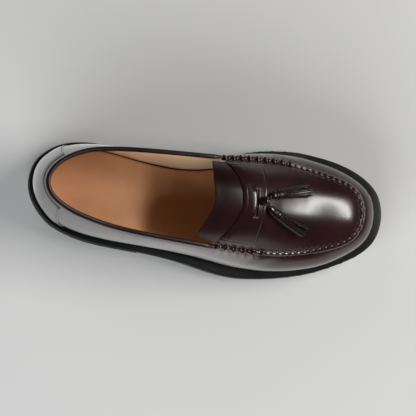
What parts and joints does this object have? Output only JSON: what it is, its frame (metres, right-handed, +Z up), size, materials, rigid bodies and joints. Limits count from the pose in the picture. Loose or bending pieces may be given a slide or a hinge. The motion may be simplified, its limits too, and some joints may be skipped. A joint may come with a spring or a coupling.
{
  "type": "tassel loafer",
  "caption": "Right tassel loafer with a hollow leather upper, strap over the instep and a chunky lugged sole with a separate heel.",
  "frame": {"origin": "centre of the heel's tread, on the floor that the shoe stands on", "axes": "+X from heel to toe, +Y to the inner (medial) side of the right foot, +Z up"},
  "size_m": [0.3, 0.1117, 0.0954],
  "materials": {
    "upper_leather": "polished dark burgundy leather, high gloss",
    "binding_leather": "thin dark burgundy binding, soft gloss",
    "tassel_leather": "polished dark burgundy leather, cut strips",
    "insock_leather": "smooth tan lining leather, matt",
    "sole_rubber": "black rubber, satin"
  },
  "bodies": {
    "root": {"outsole": "sole_rubber", "heel": "sole_rubber", "midsole": "sole_rubber", "welt": "sole_rubber", "insole": "insock_leather", "upper": "upper_leather", "topline_binding": "binding_leather", "heel_counter": "upper_leather", "tongue": "upper_leather", "strap": "upper_leather", "tassel_knot": "tassel_leather", "tassel_medial": "tassel_leather", "tassel_lateral": "tassel_leather"}
  },
  "joints": []
}
